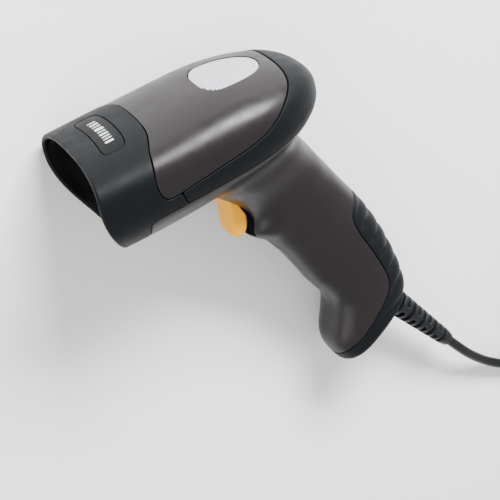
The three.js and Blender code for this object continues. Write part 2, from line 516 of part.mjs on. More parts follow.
// the tie wraps once round the bundle
const tieWidth = 7;
const tieReach = COIL_HALF + 0.3;
const tie = box(COIL_MEAN - tieReach - 1.2, COIL_MEAN + tieReach + 0.9, -tieWidth / 2, tieWidth / 2, 0.05,
  COIL_TOP + 1.2).subtract(box(COIL_MEAN - tieReach - 0.3, COIL_MEAN + tieReach, -tieWidth, tieWidth, COIL_BASE - 0.35,
  COIL_TOP + 0.3));
place(object, "coil_tie", geometryOf(tie).rotateZ(TIE_ANGLE).translate(COIL_CENTRE[0], COIL_CENTRE[1], 0),
  blackPlastic);

// USB plug, lying flat
const plugBox = (halfX, y0, y1, halfZ) => box(PLUG_X - halfX, PLUG_X + halfX, y0, y1, PLUG_HEIGHT - halfZ,
  PLUG_HEIGHT + halfZ);
const SHELL_LENGTH = 18.5;
const overmoldEnd = PLUG_TIP + SHELL_LENGTH - 6;
const overmold = plugBox(7.9, overmoldEnd, 32, 4.1).add(bar([PLUG_X, 31, PLUG_HEIGHT], [PLUG_X, 39.5, PLUG_HEIGHT],
  4, 3));
place(object, "usb_overmold", overmold.subtract(plugBox(6.35, overmoldEnd - 1, PLUG_TIP + SHELL_LENGTH + 0.4, 2.6)),
  rubber);
place(object, "usb_shell", plugBox(6, PLUG_TIP, PLUG_TIP + SHELL_LENGTH, 2.25)
  .subtract(plugBox(5.65, PLUG_TIP - 1, PLUG_TIP + SHELL_LENGTH - 0.4, 1.9)), steel);
place(object, "usb_tongue", box(PLUG_X - 5.3, PLUG_X + 5.3, PLUG_TIP + 0.6, PLUG_TIP + SHELL_LENGTH - 0.8,
  PLUG_HEIGHT + 0.1, PLUG_HEIGHT + 1.6), ivory);

export default object;
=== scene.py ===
import json
import math

import bmesh
import bpy
import numpy as np
from mathutils import Matrix, Vector


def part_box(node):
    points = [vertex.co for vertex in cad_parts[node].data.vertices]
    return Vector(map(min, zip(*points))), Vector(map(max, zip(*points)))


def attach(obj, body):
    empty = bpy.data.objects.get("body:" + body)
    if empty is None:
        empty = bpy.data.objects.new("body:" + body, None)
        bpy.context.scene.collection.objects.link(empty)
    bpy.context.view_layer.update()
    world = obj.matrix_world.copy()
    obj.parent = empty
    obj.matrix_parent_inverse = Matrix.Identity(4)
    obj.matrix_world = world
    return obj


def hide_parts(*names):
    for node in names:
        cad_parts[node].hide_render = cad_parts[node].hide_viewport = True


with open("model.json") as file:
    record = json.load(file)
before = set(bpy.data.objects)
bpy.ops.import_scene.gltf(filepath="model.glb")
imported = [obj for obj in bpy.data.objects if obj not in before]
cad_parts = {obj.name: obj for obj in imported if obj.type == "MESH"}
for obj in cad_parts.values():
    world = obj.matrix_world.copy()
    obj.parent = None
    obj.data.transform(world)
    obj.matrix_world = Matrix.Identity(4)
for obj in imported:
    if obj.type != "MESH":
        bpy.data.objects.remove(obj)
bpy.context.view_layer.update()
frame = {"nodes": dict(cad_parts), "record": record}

MM = 0.001

# ---------------------------------------------------------------- camera
VIEW_AZIMUTH, VIEW_ELEVATION, VIEW_ROLL = (math.radians(a) for a in (33, 60, 125.5))
VIEW_AIM = Vector((13, -7.5, 30)) * MM
VIEW_DISTANCE = 0.66
VIEW_LENS, SENSOR_WIDTH = 108, 36


def make_camera():
    a, e = VIEW_AZIMUTH, VIEW_ELEVATION
    back = Vector((math.sin(a) * math.cos(e), -math.cos(a) * math.cos(e), math.sin(e)))
    level = Vector((math.cos(a), math.sin(a), 0))
    rise = back.cross(level)
    right = level * math.cos(VIEW_ROLL) + rise * math.sin(VIEW_ROLL)
    up = back.cross(right)
    data = bpy.data.cameras.new("camera")
    data.lens, data.sensor_width = VIEW_LENS, SENSOR_WIDTH
    camera = bpy.data.objects.new("camera", data)
    bpy.context.scene.collection.objects.link(camera)
    turn = Matrix((right, up, back)).transposed().to_4x4()
    camera.matrix_world = Matrix.Translation(VIEW_AIM + back * VIEW_DISTANCE) @ turn
    bpy.context.scene.camera = camera


make_camera()

# ---------------------------------------------------------------- design frame
# Millimetres: nose towards -X, top of the head +Z. The scanner lies on its right side, so its design frame is turned
# onto that side in the row frame.
PIVOT = np.array((-8, 0, -21.6))   # centre of trigger_pin


def centre_of(node):
    return np.mean(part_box(node), axis=0) / MM


to_barrel = centre_of("lens_barrel") - centre_of("trigger_pin")
TILT = math.atan2(to_barrel[2], -to_barrel[1])
TURN = np.array(((-1, 0, 0), (0, -math.sin(TILT), -math.cos(TILT)), (0, -math.cos(TILT), math.sin(TILT))))
DESIGN_ORIGIN = centre_of("trigger_pin") - TURN @ PIVOT


def to_row(points):
    return (np.asarray(points, float) @ TURN.T + DESIGN_ORIGIN) * MM


def curve(points):
    """A smooth function through the points, held level beyond its two ends."""
    xs, ys = np.array(points, float).T
    step = np.diff(xs)
    slope = np.diff(ys) / step
    m = np.r_[slope[0], (slope[:-1] * step[1:] + slope[1:] * step[:-1]) / (step[:-1] + step[1:]), slope[-1]]

    def at(value):
        v = np.clip(value, xs[0], xs[-1])
        i = np.clip(np.searchsorted(xs, v) - 1, 0, len(xs) - 2)
        t = (v - xs[i]) / step[i]
        return ((2 * t**3 - 3 * t**2 + 1) * ys[i] + (t**3 - 2 * t**2 + t) * step[i] * m[i]
                + (3 * t**2 - 2 * t**3) * ys[i + 1] + (t**3 - t**2) * step[i] * m[i + 1])
    return at


def smooth(points, steps, closed=False):
    """A Catmull-Rom line through the points."""
    p = np.array(points, float)
    n = len(p)
    u = np.linspace(0, n if closed else n - 1, steps + 1)
    if closed:
        u = u[:-1]
        i = np.floor(u).astype(int)
        near = [p[(i + k) % n] for k in (-1, 0, 1, 2)]
    else:
        i = np.minimum(np.floor(u).astype(int), n - 2)
        near = [p[np.clip(i + k, 0, n - 1)] for k in (-1, 0, 1, 2)]
    t = (u - i)[:, None]
    v0, v1 = (near[2] - near[0]) / 2, (near[3] - near[1]) / 2
    return ((2 * near[1] - 2 * near[2] + v0 + v1) * t**3 + (3 * near[2] - 3 * near[1] - 2 * v0 - v1) * t**2
            + v0 * t + near[1])


def power(value, exponent):
    return np.sign(value) * np.abs(value) ** exponent


def ease(value):
    """From 0 to 1 with a soft start and end."""
    v = np.clip(value, 0, 1)
    return v * v * (3 - 2 * v)


def circle(count):
    return np.arange(count) / count * 2 * math.pi


# ---------------------------------------------------------------- sizes and outlines
ROUND = 2.5  # roundness of the head, tail and grip sections
TAIL_START, TAIL_END = -7, 43
GRIP_START = np.array((12.0, -25.0))
GRIP_LEAN = math.radians(16.5)
GAP = 0.36   # width of the line between two mouldings

head_top = curve([(-74, 12.5), (-34, 16), (-6, 18.5), (20, 19), (47, 21.5)])
head_bottom = curve([(-74, -33), (-40, -30.5), (-12, -26.5), (20, -20), (47, -13.5)])
head_width = curve([(-74, 34), (-44, 35), (47, 33)])
rim_x = curve([(-38, -54.5), (-22, -65), (-6, -69.5), (8, -68.5), (20, -65)])
grip_front = curve([(-14, -34), (0, -27), (10, -22), (20, -20.5), (27, -24), (36, -19), (44, -16.5), (70, -12.5),
                    (89, -10.5), (96, -14.5), (104, -20), (124, -19.5)])
grip_back = curve([(-14, 15), (10, 20), (36, 25), (54, 28.5), (80, 29.5), (100, 27), (114, 22.5), (124, 18)])
grip_width = curve([(-14, 27), (0, 22.5), (12, 18), (26, 16), (45, 15), (72, 15), (92, 16), (124, 16.5)])

NOSE_SEAM = smooth([(-36, 20), (-37, 15.5), (-42, 11), (-44.5, 3), (-44, -4.5), (-41, -8), (-35.5, -7.5)], 52)
COVER_SEAM = smooth([(-35.5, -7.5), (-20, -4.5), (4, 0.5), (20, 9), (26.5, 14), (28, 22)], 52)
BAND_LOW = smooth([(-33.5, -14), (0, -11), (28, -7), (50, -3.5)], 24)
NOSE_LOW = smooth([(-50.5, -17.5), (-47, -15.5), (-33.5, -14)], 16)
PAD_SEAM = smooth([(60, -56), (50, -60), (44, -67), (45, -76), (50, -90), (54, -105), (51, -114), (38, -127.5),
                   (26, -137), (18, -146)], 68)
BUTT_FRONT, BUTT_SLOPE = (25, -146.5), 0.65
BUTT_CUT = np.array([(x, BUTT_FRONT[1] + BUTT_SLOPE * (x - BUTT_FRONT[0])) for x in (-40, 90)])
RIM_Z = np.linspace(-38, 20, 59)
RIM = np.stack((rim_x(RIM_Z), RIM_Z), 1)

# each moulding's part of the side view; corners beyond the scanner only close the outline
NOSE_ZONE = np.vstack(([(-95, 40), (-36, 40)], NOSE_SEAM, NOSE_LOW[::-1], [(-50.5, -60), (-95, -60)]))
COVER_ZONE = np.vstack(([(-36, 40)], NOSE_SEAM, COVER_SEAM[1:], [(28, 40)]))
BAND_ZONE = np.vstack((COVER_SEAM, [(28, 40), (80, 40), (80, -3.5)], BAND_LOW[::-1]))
PAD_ZONE = np.vstack((PAD_SEAM, [(18, -170), (120, -170), (120, -56)]))
LOW_ZONE = np.vstack(([(-50.5, -60)], NOSE_LOW, BAND_LOW[1:], [(80, -3.5), (120, -56), (120, -170), (0, -170),
                                                               (-50.5, -170)]))
BEHIND_RIM = np.vstack((RIM, [(-40, 40), (80, 40), (80, -170), (-40, -170), (-54, -44)]))


def lobed(roundness, place):
    """A closed outline: a rounded square from -1 to 1 on u and v, put where place says."""
    angle = circle(120)
    u, v = [power(w, 2 / roundness) for w in (np.cos(angle), np.sin(angle))]
    return np.stack(place(u, v), 1)


# the light window is an egg and the name badge a bowed oblong
LIGHT_REAR, LIGHT_FRONT, LIGHT_HALF = 21.5, 8, 13.5
BADGE_MIDDLE, BADGE_REACH, BADGE_HALF, BADGE_BOW = -51, 5.5, 18, 1.5
LIGHT_OUTLINE = lobed(2.2, lambda u, v: (u * np.where(u > 0, LIGHT_REAR, LIGHT_FRONT), v * LIGHT_HALF))
BADGE_OUTLINE = lobed(6, lambda u, v: (BADGE_MIDDLE + u * BADGE_REACH - BADGE_BOW * v * v, v * BADGE_HALF))
POCKET = np.array(((-14, -10), (-14, -58), (0.5, -58), (2.5, -48), (0.5, -36), (-2, -24), (-2, -10)))
POCKET_HALF = 8.3
TRIGGER_WIDTH = 15.6
COVER_SCREWS = ((-27.0, -20.0), (-27.0, 20.0))
SCREW_HOLE_RADIUS = 3.4


# ---------------------------------------------------------------- surfaces on a grid
def head_scale(x):
    k = np.clip((x - TAIL_START) / (TAIL_END - TAIL_START), 0, 1)
    return np.sqrt(1 - k**ROUND)


def normals_of(points):
    """Normals of a grid whose rows are rings."""
    down = np.gradient(points, axis=0)
    around = (np.roll(points, -1, 1) - np.roll(points, 1, 1)) / 2
    n = np.cross(down, around)
    return n / np.maximum(np.linalg.norm(n, axis=2, keepdims=True), 1e-9)


HEAD_START = -71.5
HEAD_SPACING = 0.96   # exponent in the spacing of the rings, which close up towards the tail
# the flat land under the head where a stand's cup bears; it lies up to 0.6 mm deeper here than on the node
LAND_ENDS, LAND_HEIGHTS = (-46, -19), (-30.85, -27.05)
LAND_HALF = 9.0
LAND_NORMAL = (0.1393, 0, -0.9903)


def head_grid(stations=150, count=232):
    u = np.linspace(0, 1, stations)
    x = HEAD_START + (TAIL_END - HEAD_START) * np.sin(u * math.pi / 2) ** HEAD_SPACING
    angle = circle(count)
    c, s = np.cos(angle), np.sin(angle)
    scale = head_scale(x)[:, None]
    y = head_width(x)[:, None] * scale * power(c, 2 / ROUND)
    rise = np.where(s > 0, head_top(x)[:, None], -head_bottom(x)[:, None]) * scale
    z = rise * power(s, 2 / ROUND)
    points = np.stack((np.repeat(x[:, None], count, 1), y, z), 2)
    n = -normals_of(points)
    n[-1] = (1, 0, 0)
    along = points[..., 0]
    land = np.interp(along, LAND_ENDS, LAND_HEIGHTS)
    on = (along > LAND_ENDS[0]) & (along < LAND_ENDS[1]) & (np.abs(points[..., 1]) < LAND_HALF)
    on &= points[..., 2] < land
    points[..., 2] = np.where(on, land, points[..., 2])
    n[on] = LAND_NORMAL
    return points, n


def head_level(p):
    """Signed distance, roughly, from the head's skin (below 0 inside it), and the direction in which it grows."""
    def level(q):
        x, y, z = q[..., 0], q[..., 1], q[..., 2]
        scale = np.maximum(head_scale(x), 1e-3)
        rise = np.where(z > 0, head_top(x), -head_bottom(x))
        across, upright = np.abs(y / (head_width(x) * scale)), np.abs(z / (rise * scale))
        return (across ** ROUND + upright ** ROUND) ** (1 / ROUND) - 1
    h = 0.05
    g = np.stack([(level(p + d) - level(p - d)) / (2 * h) for d in np.eye(3) * h], -1)
    size = np.maximum(np.linalg.norm(g, axis=-1, keepdims=True), 1e-6)
    return level(p) / size[..., 0], g / size


grip_axis = np.array((math.sin(GRIP_LEAN), -math.cos(GRIP_LEAN)))
grip_across = np.array((math.cos(GRIP_LEAN), math.sin(GRIP_LEAN)))


def grip_point(t, angle):
    middle, reach = (grip_front(t) + grip_back(t)) / 2, (grip_back(t) - grip_front(t)) / 2
    s = middle + reach * power(np.cos(angle), 2 / ROUND)
    y = grip_width(t) * power(np.sin(angle), 2 / ROUND)
    return np.stack((GRIP_START[0] + grip_axis[0] * t + grip_across[0] * s, y,
                     GRIP_START[1] + grip_axis[1] * t + grip_across[1] * s), -1)


def bisect(test, low, high):
    for _ in range(40):
        middle = (low + high) / 2
        inside = test(middle)
        low, high = np.where(inside, middle, low), np.where(inside, high, middle)
    return (low + high) / 2


FILLET = 6.5
BUTT_EDGE = 3.6
# finger scallops down the pad's back: span along the grip, middle of one of them, and how they fade out
SCALLOP_PITCH = 9.4
SCALLOP_DEPTH = 1.0
SCALLOP_START, SCALLOP_END, SCALLOP_CREST = 47, 109, 49
SCALLOP_FADE = 4
SCALLOP_SHARPNESS = 1.6
SCALLOP_FROM_SEAM = 0.8
SCALLOP_SIDE, SCALLOP_SIDE_FADE = 0.25, 0.7   # how far round the grip they reach, as a cosine
SHORT_OF_CENTRE = 0.999   # the butt's last ring stops just before its middle


def above_butt(p):
    return p[..., 2] - np.interp(p[..., 0], BUTT_CUT[:, 0], BUTT_CUT[:, 1])


def grip_grid(count=200, side_rows=120):
    angle = -circle(count)
    start = bisect(lambda t: head_level(grip_point(t, angle))[0] < 0, np.full(count, -14.0), np.full(count, 24.0))
    end = bisect(lambda t: above_butt(grip_point(t, angle)) > 0, np.full(count, 80.0), np.full(count, 124.0))
    # fillet against the head: tangent to the head's skin, then to the grip's
    fillet_end = start + FILLET
    corner = grip_point(start, angle)
    low = grip_point(fillet_end, angle)
    outward = corner - corner.mean(0)
    _, skin = head_level(corner)
    outward -= (outward * skin).sum(-1, keepdims=True) * skin
    outward /= np.linalg.norm(outward, axis=-1, keepdims=True)
    high = corner + outward * FILLET
    for _ in range(4):
        level, skin = head_level(high)
        high -= level[:, None] * skin
    rows = []
    for q in np.linspace(0, 1, 12)[:-1]:
        rows.append((1 - q) ** 2 * high + 2 * q * (1 - q) * corner + q * q * low)
    for q in np.linspace(0, 1, side_rows):
        rows.append(grip_point(fillet_end + (end - BUTT_EDGE - fillet_end) * q, angle))
    rim = grip_point(end, angle)
    centre = (rim.min(0) + rim.max(0)) / 2
    centre[2] = np.interp(centre[0], BUTT_CUT[:, 0], BUTT_CUT[:, 1])
    inward = centre - rim
    size = np.linalg.norm(inward, axis=-1, keepdims=True)
    flat = rim + inward * BUTT_EDGE / size
    above = grip_point(end - BUTT_EDGE, angle)
    for q in np.linspace(0, 1, 8)[1:]:
        rows.append((1 - q) ** 2 * above + 2 * q * (1 - q) * rim + q * q * flat)
    for q in np.linspace(0, 1, 12)[1:]:
        rows.append(flat + (centre - flat) * q * SHORT_OF_CENTRE)
    points = np.array(rows)
    n = -normals_of(points)
    n[0] = head_level(points[0])[1]
    side = points[..., [0, 2]]
    from_seam, _ = polygon_distance(side.reshape(-1, 2), PAD_ZONE)
    from_seam = from_seam.reshape(side.shape[:2])
    along = (side - GRIP_START) @ grip_axis
    wave = (1 - np.abs(np.sin(math.pi * (along - SCALLOP_CREST) / SCALLOP_PITCH))) ** SCALLOP_SHARPNESS
    mask = ease((from_seam - SCALLOP_FROM_SEAM) / SCALLOP_FADE) * ease((along - SCALLOP_START) / SCALLOP_FADE)
    mask = mask * ease((SCALLOP_END - along) / SCALLOP_FADE)
    mask = mask * ease((np.cos(angle)[None, :] + SCALLOP_SIDE) / SCALLOP_SIDE_FADE)
    points = points - n * (SCALLOP_DEPTH * wave * mask)[..., None]
    shaped = -normals_of(points)
    shaped[0] = n[0]
    shaped[-1] = shaped[-2].mean(0) / np.linalg.norm(shaped[-2].mean(0))
    return points, shaped


AT_ONCE = 20000   # points measured in one go


def polygon_distance(p, polygon):
    """Distance to a polygon's outline, above 0 inside it, and the direction in which it grows."""
    a = np.asarray(polygon, float)
    b = np.roll(a, -1, 0)
    ab = b - a
    area = (a[:, 0] * b[:, 1] - b[:, 0] * a[:, 1]).sum()
    sides = np.stack((-ab[:, 1], ab[:, 0]), 1) / np.linalg.norm(ab, axis=1, keepdims=True) * np.sign(area)
    distance, slope = np.empty(len(p)), np.empty((len(p), 2))
    for i in range(0, len(p), AT_ONCE):
        q = p[i:i + AT_ONCE]
        ap = q[:, None] - a
        t = np.clip((ap * ab).sum(-1) / (ab * ab).sum(-1), 0, 1)
        r = ap - t[..., None] * ab
        d2 = (r * r).sum(-1)
        k = d2.argmin(1)
        row = np.arange(len(q))
        d = np.sqrt(d2[row, k])
        y0, y1 = a[:, 1] > q[:, None, 1], b[:, 1] > q[:, None, 1]
        crossing = a[:, 0] + (q[:, None, 1] - a[:, 1]) / np.where(ab[:, 1] == 0, 1e-12, ab[:, 1]) * ab[:, 0]
        inside = (((y0 != y1) & (q[:, None, 0] < crossing)).sum(1) % 2) == 1
        sign = np.where(inside, 1.0, -1.0)
        direct = r[row, k] / np.maximum(d, 1e-9)[:, None] * sign[:, None]
        slope[i:i + AT_ONCE] = np.where((d > 1e-3)[:, None], direct, sides[k])
        distance[i:i + AT_ONCE] = d * sign
    return distance, slope


# ---------------------------------------------------------------- trimming a surface to a moulding's outline
# A field gives each point's distance from an outline, above 0 where the moulding is kept, and the direction in which
# that distance grows. FAR is the distance of a point that the outline does not concern.
FAR = 99.0


def side_view(polygon, sign=1):
    def field(p):
        d, g = polygon_distance(p[:, [0, 2]], polygon)
        return d * sign, np.stack((g[:, 0], np.zeros(len(p)), g[:, 1]), 1) * sign
    return field


def plan_view(polygon, sign=1):
    """An outline on the head's top; the underside lies outside it."""
    def field(p):
        d, g = polygon_distance(p[:, :2], polygon)
        d, g = d * sign, np.stack((g[:, 0], g[:, 1], np.zeros(len(p))), 1) * sign
        return np.where(p[:, 2] < 0, -FAR * sign, d), g
    return field


def outside_pocket(p):
    d, g = polygon_distance(p[:, [0, 2]], POCKET)
    wide = np.abs(p[:, 1]) - POCKET_HALF
    along = np.stack((g[:, 0], np.zeros(len(p)), g[:, 1]), 1)
    wide_slope = np.stack((np.zeros(len(p)), np.sign(p[:, 1]), np.zeros(len(p))), 1)
    use = wide > -d
    return np.where(use, wide, -d), np.where(use[:, None], wide_slope, -along)


def outside_discs(centres, radius):
    def field(p):
        d = np.stack([np.hypot(p[:, 0] - x, p[:, 1] - y) for x, y in centres])
        k = d.argmin(0)
        at = np.array(centres)[k]
        g = np.stack((p[:, 0] - at[:, 0], p[:, 1] - at[:, 1], np.zeros(len(p))), 1)
        g /= np.maximum(np.linalg.norm(g, axis=1, keepdims=True), 1e-6)
        return np.where(p[:, 2] > 0, FAR, d.min(0) - radius), g
    return field


EDGE_LEVELS = (1.0, 0.62, 0.3, 0.1, 0.0)   # where the mesh is cut along a rounded edge, in radii
LIP_STEPS = ((30, 0.0), (60, 0.0), (90, 0.0), (90, 6.0))   # turn in degrees and reach back, behind a trimmed edge


def trimmed(points, normals, fields, edges, inset=0.0, lip=()):
    """Cuts a grid to where every field is above its own margin, and rounds the edge over.
    edges holds (margin, radius, depth of the wall that goes in) for each field; lip lists the fields whose edge is
    rounded right round to the inner face. Returns vertices, faces and normals."""
    rows, count = points.shape[:2]
    p = points.reshape(-1, 3)
    n = normals.reshape(-1, 3)

    def measure(p, n):
        best = np.full(len(p), 1e9)
        which = np.zeros(len(p), int)
        out = np.zeros((len(p), 3))
        for i, (field, (margin, radius, _)) in enumerate(zip(fields, edges)):
            d, g = field(p)
            g = g - (g * n).sum(1, keepdims=True) * n
            size = np.maximum(np.linalg.norm(g, axis=1), 0.3)
            g = g / np.maximum(np.linalg.norm(g, axis=1, keepdims=True), 1e-6)
            s = (d / size - margin) / radius
            use = s < best
            best, which = np.where(use, s, best), np.where(use, i, which)
            out = np.where(use[:, None], -g, out)
        return best, which, out

    s, _, _ = measure(p, n)
    s = s.tolist()
    verts, norms = [list(v) for v in p], [list(v) for v in n]
    faces = []
    for i in range(rows - 1):
        for j in range(count):
            a, b = i * count + j, i * count + (j + 1) % count
            f = (a, b, b + count, a + count)
            if max(s[k] for k in f) > 0:
                faces.append(f)
    for level in EDGE_LEVELS:
        cut, made = {}, []
        for f in faces:
            values = [s[k] - level for k in f]
            if min(values) >= 0 or max(values) <= 0:
                made.append(f)
                continue
            above, below = [], []
            for k in range(len(f)):
                a, b = f[k], f[(k + 1) % len(f)]
                va, vb = values[k], values[(k + 1) % len(f)]
                if va >= 0:
                    above.append(a)
                if va <= 0:
                    below.append(a)
                if va * vb < 0:
                    key = (min(a, b), max(a, b))
                    if key not in cut:
                        t = va / (va - vb)
                        cut[key] = len(verts)
                        verts.append([verts[a][m] + (verts[b][m] - verts[a][m]) * t for m in range(3)])
                        norms.append([norms[a][m] + (norms[b][m] - norms[a][m]) * t for m in range(3)])
                        s.append(level)
                    above.append(cut[key])
                    below.append(cut[key])
            if len(above) > 2:
                made.append(tuple(above))
            if len(below) > 2 and level > 0:
                made.append(tuple(below))
        faces = [f for f in made if max(s[k] for k in f) > 0]
    kept = sorted({k for f in faces for k in f})
    index = {k: i for i, k in enumerate(kept)}
    faces = [tuple(index[k] for k in f) for f in faces]
    p = np.array([verts[k] for k in kept])
    n = np.array([norms[k] for k in kept])
    n /= np.maximum(np.linalg.norm(n, axis=1, keepdims=True), 1e-9)
    s = np.array([s[k] for k in kept])
    _, which, out = measure(p, n)
    radius = np.array([e[1] for e in edges])[which]
    t = np.clip(1 - s, 0, 1)
    lean = np.sqrt(1 - t * t)
    final = p - n * (inset + radius * (1 - lean))[:, None]
    final_n = n * lean[:, None] + out * t[:, None]
    # the wall that goes in from each trimmed edge
    used = dict.fromkeys((f[k], f[(k + 1) % len(f)]) for f in faces for k in range(len(f)))
    border = [(a, b) for a, b in used if (b, a) not in used and s[a] < 1e-6 and s[b] < 1e-6]
    points_out, normals_out = [final], [final_n]
    rims = sorted({k for e in border for k in e})
    rings = {}
    base = len(final)
    if rims:
        rim = np.array(rims)
        full = np.isin(which[rim], list(lip))[:, None]
        r = radius[rim][:, None]
        skirt = np.array([e[2] for e in edges])[which[rim]][:, None]
        pivot = p[rim] - n[rim] * (inset + r) - out[rim] * r
        for phi, back in LIP_STEPS:
            a = math.radians(phi)
            turned = pivot + r * (out[rim] * math.cos(a) - n[rim] * math.sin(a)) - out[rim] * back
            straight = final[rim] - n[rim] * skirt * (phi + back * 15) / 180
            points_out.append(np.where(full, turned, straight))
            normals_out.append(np.where(full, out[rim] * math.cos(a) - n[rim] * math.sin(a), out[rim]))
        for i, k in enumerate(rims):
            rings[k] = [k] + [base + m * len(rims) + i for m in range(len(LIP_STEPS))]
        for a, b in border:
            for m in range(len(LIP_STEPS)):
                faces.append((rings[b][m], rings[a][m], rings[a][m + 1], rings[b][m + 1]))
    return np.vstack(points_out), faces, np.vstack(normals_out)


def joined(*parts):
    verts, faces, norms, base = [], [], [], 0
    for v, f, n in parts:
        verts.append(v)
        norms.append(n)
        faces += [tuple(k + base for k in face) for face in f]
        base += len(v)
    return np.vstack(verts), faces, np.vstack(norms)


def mesh_object(name, verts, faces, norms=None):
    data = bpy.data.meshes.new(name)
    data.from_pydata([tuple(v) for v in verts], [], faces)
    data.update()
    data.shade_smooth()
    if norms is not None:
        norms = norms / np.maximum(np.linalg.norm(norms, axis=1, keepdims=True), 1e-9)
        data.normals_split_custom_set_from_vertices([tuple(v) for v in norms])
    obj = bpy.data.objects.new(name, data)
    bpy.context.scene.collection.objects.link(obj)
    return obj


def piece(name, part, material, body, slot, *nodes):
    verts, faces, norms = part
    obj = mesh_object(name, to_row(verts), faces, norms @ TURN.T)
    return dress(obj, material, body, slot, *nodes)


def dress(obj, material, body, slot, *nodes):
    obj.data.materials.append(material)
    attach(obj, body)
    if nodes:
        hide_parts(*nodes)
    return obj


# ---------------------------------------------------------------- materials
MIX_A, MIX_B, MIX_RESULT = 6, 7, 2   # the colour sockets of a mix node
SLOW_SCALE, ROUGHNESS_SCALE = 28.0, 160.0
SPECK_STRENGTH = 0.22


def srgb(r, g, b):
    return tuple(((c / 255 + 0.055) / 1.055) ** 2.4 if c > 10 else c / 255 / 12.92 for c in (r, g, b)) + (1.0,)


def material(name, color, rough, grain=1400.0, bump=0.03, tone=0.12, uneven=0.06, **sockets):
    """Moulded or painted surface: a fine grain, slow changes of tone, and a roughness that is not quite even."""
    m = bpy.data.materials.new(name)
    m.use_nodes = True
    tree = m.node_tree
    bsdf = tree.nodes["Principled BSDF"]
    place = tree.nodes.new("ShaderNodeTexCoord").outputs["Object"]

    def noise(scale, detail=3.0):
        node = tree.nodes.new("ShaderNodeTexNoise")
        node.inputs["Scale"].default_value = scale
        node.inputs["Detail"].default_value = detail
        tree.links.new(place, node.inputs["Vector"])
        return node.outputs["Fac"]

    def spread(value, low, high):
        node = tree.nodes.new("ShaderNodeMapRange")
        node.inputs["From Min"].default_value, node.inputs["From Max"].default_value = 0.3, 0.7
        node.inputs["To Min"].default_value, node.inputs["To Max"].default_value = low, high
        tree.links.new(value, node.inputs["Value"])
        return node.outputs["Result"]

    slow, fine = noise(SLOW_SCALE), noise(grain, 2.0)
    mix = tree.nodes.new("ShaderNodeMix")
    mix.data_type = "RGBA"
    tree.links.new(spread(slow, 0, 1), mix.inputs[0])
    mix.inputs[MIX_A].default_value = tuple(c * (1 - tone) for c in color[:3]) + (1,)
    mix.inputs[MIX_B].default_value = tuple(c * (1 + tone) for c in color[:3]) + (1,)
    speck = tree.nodes.new("ShaderNodeMix")
    speck.data_type = "RGBA"
    tree.links.new(spread(fine, 0, SPECK_STRENGTH), speck.inputs[0])
    tree.links.new(mix.outputs[MIX_RESULT], speck.inputs[MIX_A])
    speck.inputs[MIX_B].default_value = tuple(min(1, c * 1.5 + 0.004) for c in color[:3]) + (1,)
    tree.links.new(speck.outputs[MIX_RESULT], bsdf.inputs["Base Color"])
    tree.links.new(spread(noise(ROUGHNESS_SCALE), rough - uneven, rough + uneven), bsdf.inputs["Roughness"])
    lift = tree.nodes.new("ShaderNodeBump")
    lift.inputs["Strength"].default_value = 1.0
    lift.inputs["Distance"].default_value = bump * MM
    tree.links.new(fine, lift.inputs["Height"])
    tree.links.new(lift.outputs["Normal"], bsdf.inputs["Normal"])
    for key, value in sockets.items():
        bsdf.inputs[key.replace("_", " ")].default_value = value
    m["lift"] = lift.name
    return m


def ribs(m, axis, pitch, depth):
    """Adds straight moulded ribs, one every pitch metres along an axis of the row frame."""
    tree = m.node_tree
    place = next(n for n in tree.nodes if n.bl_idname == "ShaderNodeTexCoord").outputs["Object"]
    wave = tree.nodes.new("ShaderNodeTexWave")
    wave.bands_direction = axis
    wave.wave_profile = "SIN"
    wave.inputs["Scale"].default_value = math.pi / 10 / pitch
    tree.links.new(place, wave.inputs["Vector"])
    lift = tree.nodes.new("ShaderNodeBump")
    lift.inputs["Strength"].default_value = 1.0
    lift.inputs["Distance"].default_value = depth
    tree.links.new(wave.outputs["Fac"], lift.inputs["Height"])
    first = tree.nodes[m["lift"]]
    tree.links.new(lift.outputs["Normal"], first.inputs["Normal"])


RUBBER = material("rubber_moulding", srgb(9, 12, 15), 0.5, grain=2200, bump=0.035, Specular_IOR_Level=0.12)
HOUSING = material("housing_plastic", srgb(24, 20, 21), 0.34, grain=2600, bump=0.018, Specular_IOR_Level=0.26)
BADGE = material("badge_plate", srgb(6, 7, 9), 0.4, grain=3000, bump=0.01, Specular_IOR_Level=0.1)
MARK = material("badge_print", srgb(190, 193, 196), 0.5, grain=3000, bump=0.01)
BLACK = material("black_plastic", srgb(5, 5, 6), 0.7, grain=1800, bump=0.03, Specular_IOR_Level=0.08)
AMBER = material("amber_plastic", srgb(255, 172, 0), 0.36, grain=1500, bump=0.01, tone=0.04,
                 Specular_IOR_Level=0.2)
LIGHT = material("light_window_plastic", srgb(186, 190, 196), 0.22, grain=900, bump=0.01, tone=0.05,
                 Subsurface_Weight=0.3, Subsurface_Scale=0.003, Coat_Weight=0.4)
CABLE = material("cable_sheath", srgb(13, 15, 18), 0.42, grain=1500, bump=0.02, Specular_IOR_Level=0.28)
STEEL = material("plated_steel", srgb(188, 190, 194), 0.28, grain=900, bump=0.006, tone=0.05, Metallic=1.0)
IVORY = material("connector_plastic", srgb(214, 208, 194), 0.45, grain=1200, bump=0.01, tone=0.04)
CLEAR = material("clear_plastic", srgb(226, 228, 226), 0.15, grain=900, bump=0.005, tone=0.03)
GREEN = material("circuit_board", srgb(28, 92, 58), 0.35, grain=700, bump=0.02)
SCAN_GLASS = material("scan_glass", srgb(30, 5, 7), 0.08, grain=500, bump=0.001, tone=0.05, uneven=0.02,
                      Specular_IOR_Level=0.2)
TIE = material("tie_strap", srgb(22, 23, 25), 0.85, grain=700, bump=0.12, Sheen_Weight=0.4)
RIB_PITCH, RIB_DEPTH = 1.45, 0.6
ribs(LIGHT, "X", RIB_PITCH * MM, RIB_DEPTH * MM)
